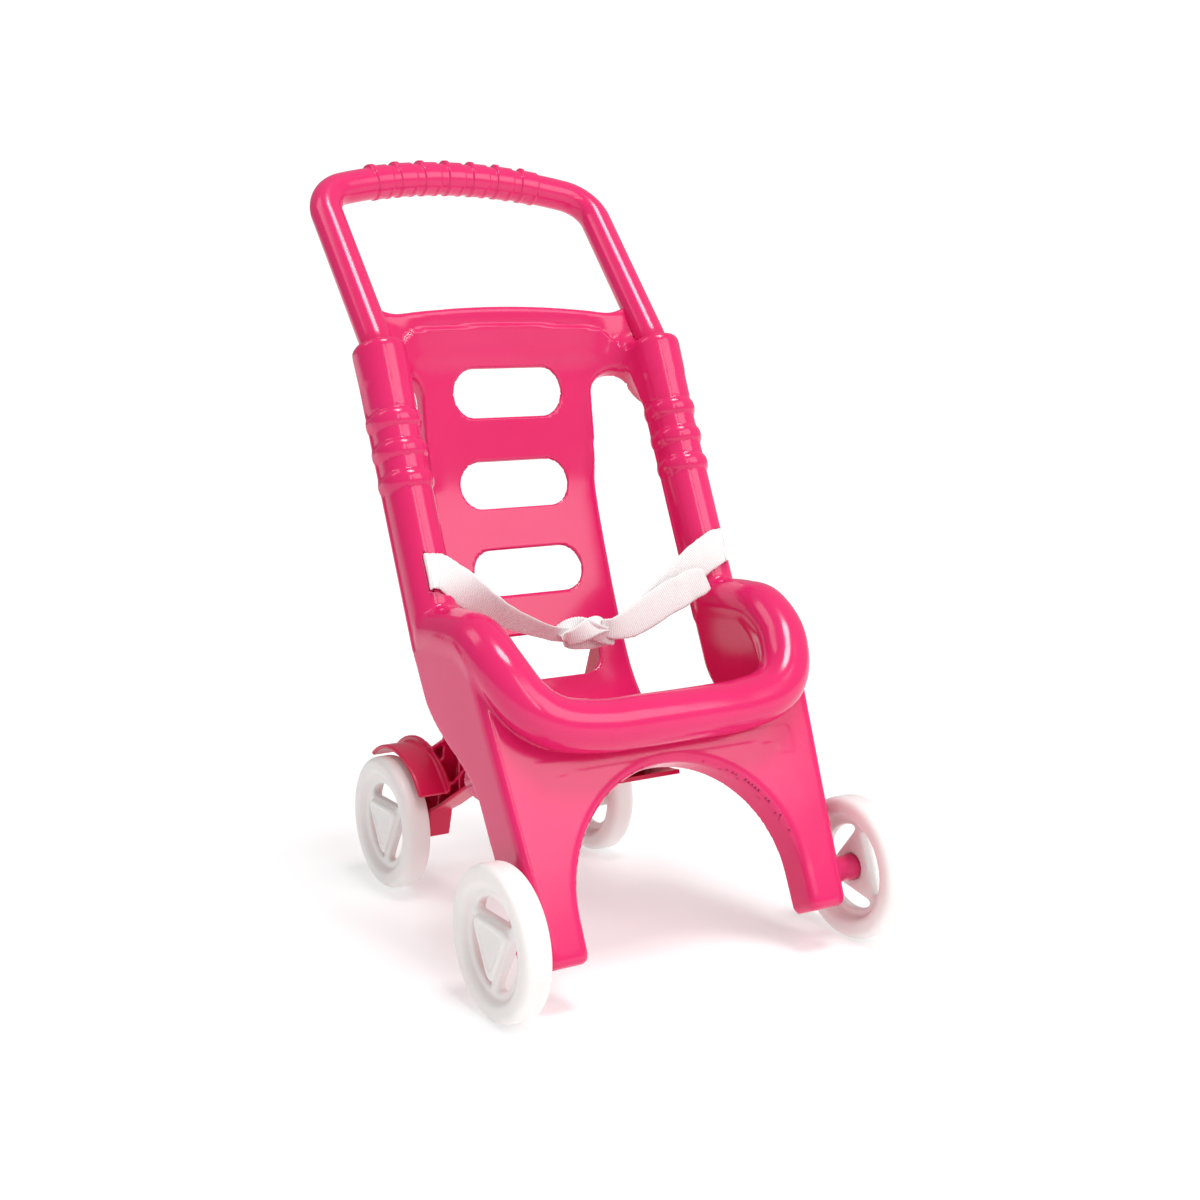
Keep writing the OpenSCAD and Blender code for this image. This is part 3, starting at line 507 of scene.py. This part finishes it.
ARM_GRID = 1.5
points, quads, normals = skin(rear_arm_field, (44, -44, 32), (92, 162, 206), ARM_GRID)
for side, sign in (("left", -1), ("right", 1)):
    flip = np.array([sign, 1, 1])
    arm = new_piece(f"rear_leg_{side}", points * flip * MM, quads if sign > 0 else quads[:, ::-1],
                    normals * flip)
    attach(arm, "frame")
    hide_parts(f"rear_arm_{side}")


# ---- wheels ----------------------------------------------------------------
def wheel_field(u, p, q):
    """One wheel about the u axis, u = 0 at its hub's inner face: a solid ring
    with round edges, a thick web set in from both faces, three windows with a
    flat side towards the hub, and a raised three-sided hub."""
    r = np.hypot(p, q)
    ring = cut(cut(r - 50, np.abs(u + 1) - 10, 6.5), 36 - r, 5.5)
    web = cut(r - 40, np.maximum(u - 4.6, -2.6 - u), 1)
    solid = both(ring, web, 4)
    flats = [p * math.cos(t) + q * math.sin(t) for t in np.radians([90, 210, 330])]
    tri = flats[0]
    for f in flats[1:]:
        tri = cut(tri, f, 9)
    hub = cut(cut(tri - 14.2, r - 26, 4), np.maximum(u - 8.0, -2 - u), 2.4)
    hub = cut(hub, -cut(tri - 10.5, 7.2 - u, 1.2), 1.2)
    solid = both(solid, hub, 1.6)
    for f in flats:
        window = cut(16.2 - f, r - 29.5, 6)
        solid = cut(solid, -window, 2.2)
    return cut(solid, -np.maximum(np.maximum(r - 9.4, u), -8 - u), 0.8)


WHEEL_GRID = 1.15
points, quads, normals = skin(wheel_field, (-13, -52, -52), (11, 52, 52), WHEEL_GRID)
FRONT_HUB_X, REAR_HUB_X = 141.0, 90.0
WHEELS = {"front_left": (-1, FRONT_HUB_X, FRONT_AXLE_Y, 0), "front_right": (1, FRONT_HUB_X, FRONT_AXLE_Y, 70),
          "rear_left": (-1, REAR_HUB_X, REAR_AXLE_Y, 0), "rear_right": (1, REAR_HUB_X, REAR_AXLE_Y, 40)}
for place, (sign, hub_x, axle_y, turn) in WHEELS.items():
    t = math.radians(turn)
    spin = np.array([[1, 0, 0], [0, math.cos(t), math.sin(t)], [0, -math.sin(t), math.cos(t)]])
    flip = np.array([sign, 1, 1])
    wheel = new_piece(f"wheel_{place}_skin", ((points @ spin) * flip + [sign * hub_x, axle_y, AXLE_Z]) * MM,
                      quads if sign > 0 else quads[:, ::-1], (normals @ spin) * flip)
    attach(wheel, f"wheel_{place}_body")
    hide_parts(f"wheel_{place}", f"hub_cap_{place}")


# ---- strap -----------------------------------------------------------------
def ribbon(name, centre, across, width, thick):
    """Flat strap: at every station a thin closed section of that width lies
    square to the line, with a fine tooth along both selvedges."""
    c, a = np.asarray(centre, float), unit(np.asarray(across, float))
    t = unit(np.gradient(c, axis=0))
    a = unit(a - (a * t).sum(1)[:, None] * t)
    n = np.cross(t, a)
    lanes = 17
    s = np.linspace(-1, 1, lanes)
    steps = np.concatenate([[0], np.cumsum(np.linalg.norm(np.diff(c, axis=0), axis=1))])
    tooth = 0.22 * np.sin(2 * math.pi * steps / 1.9)
    w = (np.asarray(width, float) / 2)[:, None] * s[None, :]
    w = w + tooth[:, None] * (np.abs(s) > 0.99) * np.sign(s)
    h = thick / 2 * np.sqrt(np.clip(1.04 - np.abs(s) ** 6, 0.04, 1))
    front = c[:, None] + w[..., None] * a[:, None] + h[None, :, None] * n[:, None]
    back = c[:, None] + w[..., None] * a[:, None] - h[None, :, None] * n[:, None]
    ring = np.concatenate([front, back[:, ::-1]], 1)
    m, k = ring.shape[1], len(c)
    i, j = np.meshgrid(np.arange(k - 1), np.arange(m), indexing="ij")
    j1 = (j + 1) % m
    quads = np.stack([i * m + j, (i + 1) * m + j, (i + 1) * m + j1, i * m + j1], -1).reshape(-1, 4)
    faces = quads.tolist() + [list(range(m)), [(k - 1) * m + q for q in range(m)][::-1]]
    obj = new_piece(name, ring.reshape(-1, 3) * MM, faces)
    uv = obj.data.uv_layers.new(name="weave")
    u_of = np.repeat(steps, m) / STRAP_W
    v_of = np.tile(np.concatenate([s, s[::-1]]), k) * 0.5 + 0.5
    loops = np.empty(len(obj.data.loops), np.int32)
    obj.data.loops.foreach_get("vertex_index", loops)
    uv.data.foreach_set("uv", np.stack([u_of[loops], v_of[loops]], 1).ravel())
    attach(obj, "frame")
    return obj, float(steps[-1])


def lean_points(points):
    return lean_to_frame(np.array(points, float)) / MM


STRAP_W, STRAP_THICK = 25.0, 1.2
LEAN_UP = np.array([0, math.sin(LEAN), math.cos(LEAN)])


def strap_part(name, route, tilts, widths, thick=STRAP_THICK, wobble=0.0):
    """Ribbon along a route in the lean frame. tilts and widths are read at even
    shares of its length; at tilt 0 the width lies up the lean, and at 90 back."""
    line = curve_through(lean_points(route), 12)
    k = np.linspace(0, 1, len(line))
    tilt = np.radians(np.interp(k, np.linspace(0, 1, len(tilts)), tilts))[:, None]
    across = LEAN_UP[None] * np.cos(tilt) - np.array([[0, 1, 0]]) * np.sin(tilt)
    width = np.interp(k, np.linspace(0, 1, len(widths)), widths)
    line = line + wobble * np.sin(17 * k + 2 * np.sin(9 * k))[:, None] * np.array([[0, 0.8, 0.6]])
    obj, length = ribbon(name, line, across, width, thick)
    return obj


for side, sign in (("left", -1), ("right", 1)):
    turn = [math.radians(v) for v in (20, 20, 4, -14)]
    reach = [RAIL_R - 7, RAIL_R + 2, RAIL_R + 2.4, RAIL_R + 3.2]
    up = [272, 272, 271.5, 269]
    route = [(RAIL_X + r * math.sin(t), RAIL_BACK - r * math.cos(t), u) for t, r, u in zip(turn, reach, up)]
    if sign < 0:
        route += [(95, 52, 258), (75, 56, 243), (52, 59.5, 231), (32, 61, 223.5), (20, 61.5, 221)]
        route = [(-x, v, w) for x, v, w in route]
        obj = strap_part("waist_strap_left", route, [0, -8, -4, 24, 46, 52, 40],
                         [25, 25, 25, 24, 20, 15, 12], wobble=0.25)
    else:
        route += [(94, 50.5, 261), (70, 55.5, 245), (44, 59.5, 229), (22, 61.5, 221), (8, 62, 219)]
        obj = strap_part("waist_strap_right", route, [0, -6, -2, 8, 16, 30, 44],
                         [25, 25, 25, 25, 24, 18, 12], wobble=0.25)
    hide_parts(f"strap_{side}")
# the knot: one flat turn over the other, and the left strap's end coming out
# over the right strap
over_route = [(-24, 61, 217), (-19, 57.2, 217.5), (-8, 55.4, 221), (4, 55.6, 224.5), (12, 58.5, 224),
              (15, 62.4, 220), (8, 66, 216), (-6, 67, 216), (-18, 65.6, 219), (-23, 62.5, 222)]
knot_over = strap_part("strap_knot_over", over_route, [62, 40, 18, -14, -36, -10, 30, 30, 10, -20],
                       [10, 13, 14, 13.5, 12, 12, 12, 12, 12, 10], wobble=0.35)
under_route = [(-27, 61.5, 222), (-20, 58.4, 225), (-9, 57.6, 225), (2, 57.8, 219.5), (12, 59, 215.5),
               (17, 61.5, 216.5), (12, 65.5, 219), (-4, 66.4, 221)]
strap_part("strap_knot_under", under_route, [-30, -12, 20, 42, 30, 4, 0, 0],
           [9, 12, 13, 13.5, 12, 11, 11, 10], wobble=0.35)
tail_route = [(6, 56.2, 222), (16, 54.6, 220.5), (30, 54.8, 223), (50, 52.6, 231), (72, 48.6, 240),
              (88, 45.4, 245), (95, 44, 246.5)]
strap_part("strap_tail", tail_route, [30, 22, 12, 8, 6, 4, 4], [11, 16, 21, 23, 23, 21, 16], wobble=0.4)
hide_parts("strap_knot")


# ---- materials -------------------------------------------------------------
def node_material(name):
    material = bpy.data.materials.new(name)
    material.use_nodes = True
    tree = material.node_tree
    return material, tree, tree.nodes["Principled BSDF"]


def gloss_plastic(name, light, deep, rough, grain=0.00006):
    """Moulded gloss plastic: slow clouds of colour, fine waviness of the skin
    and faint rubbed spots in the gloss."""
    material, tree, shader = node_material(name)
    coords = tree.nodes.new("ShaderNodeTexCoord")
    cloud = tree.nodes.new("ShaderNodeTexNoise")
    cloud.inputs["Scale"].default_value = 9
    cloud.inputs["Detail"].default_value = 3
    ramp = tree.nodes.new("ShaderNodeValToRGB")
    ramp.color_ramp.elements[0].position, ramp.color_ramp.elements[1].position = 0.3, 0.7
    ramp.color_ramp.elements[0].color, ramp.color_ramp.elements[1].color = (*deep, 1), (*light, 1)
    tree.links.new(coords.outputs["Object"], cloud.inputs["Vector"])
    tree.links.new(cloud.outputs["Fac"], ramp.inputs["Fac"])
    tree.links.new(ramp.outputs["Color"], shader.inputs["Base Color"])
    rub = tree.nodes.new("ShaderNodeTexNoise")
    rub.inputs["Scale"].default_value = 60
    rub.inputs["Detail"].default_value = 4
    spread = tree.nodes.new("ShaderNodeMapRange")
    spread.inputs["To Min"].default_value, spread.inputs["To Max"].default_value = rough - 0.03, rough + 0.05
    tree.links.new(coords.outputs["Object"], rub.inputs["Vector"])
    tree.links.new(rub.outputs["Fac"], spread.inputs["Value"])
    tree.links.new(spread.outputs["Result"], shader.inputs["Roughness"])
    wave = tree.nodes.new("ShaderNodeTexNoise")
    wave.inputs["Scale"].default_value = 26
    wave.inputs["Detail"].default_value = 2
    bump = tree.nodes.new("ShaderNodeBump")
    bump.inputs["Strength"].default_value = 0.35
    bump.inputs["Distance"].default_value = grain * 8
    tree.links.new(coords.outputs["Object"], wave.inputs["Vector"])
    tree.links.new(wave.outputs["Fac"], bump.inputs["Height"])
    tree.links.new(bump.outputs["Normal"], shader.inputs["Normal"])
    shader.inputs["IOR"].default_value = 1.5
    return material


def linear(hex_colour):
    c = [int(hex_colour[i:i + 2], 16) / 255 for i in (1, 3, 5)]
    return [v / 12.92 if v <= 0.04045 else ((v + 0.055) / 1.055) ** 2.4 for v in c]


pink = gloss_plastic("body_pink_gloss", linear("#E0246A"), linear("#DA1C62"), 0.16)
handle_pink = gloss_plastic("handle_pink_gloss", linear("#E0246A"), linear("#DA1C62"), 0.18, 0.000015)
red_pink = gloss_plastic("rear_leg_pink", linear("#DE0F52"), linear("#D20A49"), 0.3)
milk = gloss_plastic("wheel_milk_white", linear("#F1EEEC"), linear("#E9E5E3"), 0.3)
milk_shader = milk.node_tree.nodes["Principled BSDF"]
milk_shader.inputs["Subsurface Weight"].default_value = 0.6
milk_shader.inputs["Subsurface Radius"].default_value = (1.0, 0.7, 0.65)
milk_shader.inputs["Subsurface Scale"].default_value = 0.01
steel = gloss_plastic("pin_steel", linear("#B9BCC0"), linear("#A9ACB0"), 0.28)
steel.node_tree.nodes["Principled BSDF"].inputs["Metallic"].default_value = 1.0


def webbing_material():
    """White webbing: a fine rib across the strap and a weave along it, read
    from the strap's own map. Its colour is painted shade of the rib: darker
    in the rib's hollows and lighter on its crests."""
    material, tree, shader = node_material("strap_webbing")
    uv = tree.nodes.new("ShaderNodeUVMap")
    uv.uv_map = "weave"
    rib = tree.nodes.new("ShaderNodeTexWave")
    rib.bands_direction = "X"
    rib.inputs["Scale"].default_value = 5.2
    rib.inputs["Distortion"].default_value = 0.6
    rib.inputs["Detail"].default_value = 1.5
    twill = tree.nodes.new("ShaderNodeTexWave")
    twill.bands_direction = "DIAGONAL"
    twill.inputs["Scale"].default_value = 9
    mix = tree.nodes.new("ShaderNodeMath")
    mix.operation = "MULTIPLY_ADD"
    mix.inputs[1].default_value = 0.4
    bump = tree.nodes.new("ShaderNodeBump")
    bump.inputs["Strength"].default_value = 0.6
    bump.inputs["Distance"].default_value = 0.0003
    tree.links.new(uv.outputs["UV"], rib.inputs["Vector"])
    tree.links.new(uv.outputs["UV"], twill.inputs["Vector"])
    tree.links.new(twill.outputs["Fac"], mix.inputs[0])
    tree.links.new(rib.outputs["Fac"], mix.inputs[2])
    tree.links.new(mix.outputs["Value"], bump.inputs["Height"])
    tree.links.new(bump.outputs["Normal"], shader.inputs["Normal"])
    # painted shade: the rib's height also sets the colour, darker white in its hollows and lighter on its
    # crests
    ramp = tree.nodes.new("ShaderNodeValToRGB")
    ramp.color_ramp.elements[0].color = (*linear("#E4E1E0"), 1)
    ramp.color_ramp.elements[1].color = (*linear("#F7F5F4"), 1)
    tree.links.new(rib.outputs["Fac"], ramp.inputs["Fac"])
    tree.links.new(ramp.outputs["Color"], shader.inputs["Base Color"])
    shader.inputs["Roughness"].default_value = 0.75
    shader.inputs["Sheen Weight"].default_value = 0.2
    return material


webbing = webbing_material()


def give(obj, material):
    obj.data.materials.clear()
    obj.data.materials.append(material)


for obj in bpy.data.objects:
    if obj.type != "MESH":
        continue
    if obj.name.startswith("body_moulding"):
        give(obj, pink)
    elif obj.name.startswith("handle_bow"):
        give(obj, handle_pink)
    elif obj.name.startswith(("rear_leg_left", "rear_leg_right")):
        give(obj, red_pink)
    elif obj.name.startswith("wheel_") and obj.name.endswith("_skin"):
        give(obj, milk)
    elif obj.name.startswith(("waist_strap", "strap_knot_", "strap_tail")):
        give(obj, webbing)
for name, node in frame["nodes"].items():
    chosen = pink
    if name.startswith(("pin_", "push_nut", "rear_leg_screws")):
        chosen = steel
    elif name == "rear_leg_bracket":
        chosen = red_pink
    elif name.startswith(("strap_stop", "hub_cap")):
        chosen = milk
    for slot in node.material_slots:
        slot.material = chosen


# ---- floor, light ----------------------------------------------------------
def make_stage():
    """Wide pale floor that glows a little, a soft sun from above, three broad
    lights, and a surround that is brightest towards the front and the right."""
    size = 30.0
    square = [(-size, -size, 0), (size, -size, 0), (size, size, 0), (-size, size, 0)]
    floor = new_piece("floor", square, [(0, 1, 2, 3)], smooth=False)
    material, tree, shader = node_material("floor_paper")
    coords = tree.nodes.new("ShaderNodeTexCoord")
    noise = tree.nodes.new("ShaderNodeTexNoise")
    noise.inputs["Scale"].default_value = 3
    ramp = tree.nodes.new("ShaderNodeValToRGB")
    ramp.color_ramp.elements[0].color = (0.66, 0.66, 0.66, 1)
    ramp.color_ramp.elements[1].color = (0.7, 0.7, 0.7, 1)
    tree.links.new(coords.outputs["Object"], noise.inputs["Vector"])
    tree.links.new(noise.outputs["Fac"], ramp.inputs["Fac"])
    tree.links.new(ramp.outputs["Color"], shader.inputs["Base Color"])
    shader.inputs["Roughness"].default_value = 0.9
    shader.inputs["Emission Color"].default_value = (1, 1, 1, 1)
    shader.inputs["Emission Strength"].default_value = 0.42
    give(floor, material)
    world = bpy.data.worlds.new("studio")
    bpy.context.scene.world = world
    world.use_nodes = True
    tree = world.node_tree
    back = tree.nodes["Background"]
    back.inputs["Color"].default_value = (1, 1, 1, 1)
    coords = tree.nodes.new("ShaderNodeTexCoord")
    dot = tree.nodes.new("ShaderNodeVectorMath")
    dot.operation = "DOT_PRODUCT"
    dot.inputs[1].default_value = (0.42, -0.62, 0.66)
    tone = tree.nodes.new("ShaderNodeMapRange")
    tone.inputs["From Min"].default_value, tone.inputs["From Max"].default_value = -0.6, 1.0
    tone.inputs["To Min"].default_value, tone.inputs["To Max"].default_value = 0.28, 0.55
    path = tree.nodes.new("ShaderNodeLightPath")
    seen = tree.nodes.new("ShaderNodeMix")
    seen.inputs["B"].default_value = 1.05
    tree.links.new(coords.outputs["Generated"], dot.inputs[0])
    tree.links.new(dot.outputs["Value"], tone.inputs["Value"])
    tree.links.new(path.outputs["Is Camera Ray"], seen.inputs["Factor"])
    tree.links.new(tone.outputs["Result"], seen.inputs["A"])
    tree.links.new(seen.outputs["Result"], back.inputs["Strength"])
    data = bpy.data.lights.new("sun", "SUN")
    data.energy, data.angle = 1.5, math.radians(20)
    sun = bpy.data.objects.new("sun", data)
    sun.rotation_euler = (math.radians(14), math.radians(4), 0)
    bpy.context.scene.collection.objects.link(sun)
    for name, place, aim, energy, w, h in (("key", (0.75, -1.8, 1.55), (0, 0, 0.25), 17, 1.5, 1.3),
                                           ("strip", (-0.35, -1.9, 1.5), (0, 0, 0.3), 5, 0.25, 1.2),
                                           ("rim", (-1.3, 0.6, 1.9), (0, 0, 0.3), 4, 0.5, 1.0)):
        data = bpy.data.lights.new(name, "AREA")
        data.energy, data.shape, data.size, data.size_y = energy, "RECTANGLE", w, h
        lamp = bpy.data.objects.new(name, data)
        lamp.location = place
        d = np.array(aim) - np.array(place)
        yaw, pitch = math.atan2(d[0], d[1]), math.atan2(d[2], math.hypot(d[0], d[1]))
        lamp.rotation_euler = (math.pi / 2 + pitch, 0, -yaw)
        bpy.context.scene.collection.objects.link(lamp)
    bpy.context.scene.view_settings.view_transform = "Standard"


make_stage()
